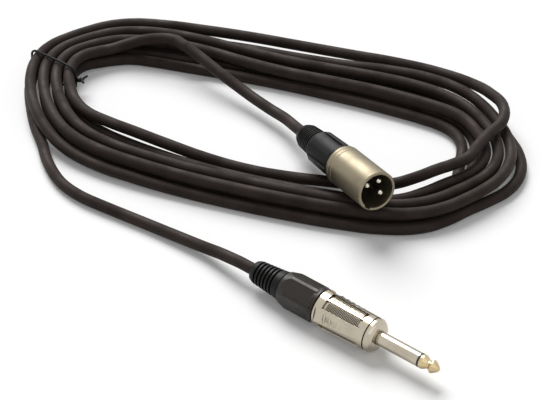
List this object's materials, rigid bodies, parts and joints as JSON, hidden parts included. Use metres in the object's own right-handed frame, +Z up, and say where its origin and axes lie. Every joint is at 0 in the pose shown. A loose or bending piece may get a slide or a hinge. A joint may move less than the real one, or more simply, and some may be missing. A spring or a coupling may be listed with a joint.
{
  "type": "xlr cable coil",
  "caption": "Coiled balanced audio lead, held by a twist tie, with a male XLR plug at one end and a 6.35 mm phone plug at the other; both screwed cable clamps open.",
  "frame": {"origin": "on the ground plane, under the middle of the box round the two plugs and the tie", "axes": "+X along the coil's long axis from the tie towards the plugs, +Y from the single plug towards the coil's far side, +Z up"},
  "size_m": [0.2546, 0.2185, 0.0322],
  "materials": {
    "cable_jacket": "satin",
    "tie_plastic": "satin",
    "shell_nickel": "satin",
    "shell_bright": "polished",
    "contact_metal": "plated",
    "tip_metal": "plated",
    "black_plastic": "matt",
    "black_rubber": "matt",
    "black_gloss": "gloss",
    "clamp_plastic": "matt",
    "washer_fibre": "matt",
    "red_insulation": "matt",
    "white_insulation": "matt",
    "braid_copper": "bare"
  },
  "bodies": {
    "cable_and_shells": {"cable_coil": "cable_jacket", "cable_lead_xlr": "cable_jacket", "cable_lead_jack": "cable_jacket", "twist_tie": "tie_plastic", "xlr_shell": "shell_nickel", "xlr_insert": "black_plastic", "xlr_pin_1": "contact_metal", "xlr_pin_2": "contact_metal", "xlr_pin_3": "contact_metal", "xlr_ground_clip": "contact_metal", "xlr_wire_shield": "braid_copper", "xlr_wire_hot": "red_insulation", "xlr_wire_cold": "white_insulation", "jack_shell": "shell_bright", "jack_sleeve": "shell_bright", "jack_tip": "tip_metal", "jack_tip_insulator": "black_plastic", "jack_washer": "washer_fibre", "jack_tip_lug": "contact_metal", "jack_ground_lug": "contact_metal", "jack_wire_hot": "red_insulation", "jack_wire_cold": "white_insulation", "jack_wire_shield": "braid_copper"},
    "xlr_clamp": {"xlr_chuck": "clamp_plastic"},
    "xlr_cap": {"xlr_boot": "black_rubber"},
    "jack_clamp": {"jack_chuck": "clamp_plastic"},
    "jack_cap": {"jack_gland": "black_gloss", "jack_boot": "black_rubber"}
  },
  "joints": [
    {"name": "xlr_cap_travel", "type": "slide", "parent": "cable_and_shells", "child": "xlr_clamp", "axis": [-0.682, 0.7112, -0.1702], "range_m": [0, 0.00605]},
    {"name": "xlr_cap_turn", "type": "hinge", "parent": "xlr_clamp", "child": "xlr_cap", "pos_m": [0.05278, 0.02906, 0.01769], "axis": [-0.682, 0.7112, -0.1702], "range_deg": [0, 1440]},
    {"name": "jack_cap_travel", "type": "slide", "parent": "cable_and_shells", "child": "jack_clamp", "axis": [-0.9114, 0.4115, 0], "range_m": [0, 0.00605]},
    {"name": "jack_cap_turn", "type": "hinge", "parent": "jack_clamp", "child": "jack_cap", "pos_m": [0.06507, -0.05826, 0.0085], "axis": [-0.9114, 0.4115, 0], "range_deg": [0, 1440]}
  ],
  "couplings": [
    {"joint": "xlr_cap_travel", "follows": "xlr_cap_turn", "m_per_rad": 0.00023873},
    {"joint": "jack_cap_travel", "follows": "jack_cap_turn", "m_per_rad": 0.00023873}
  ]
}
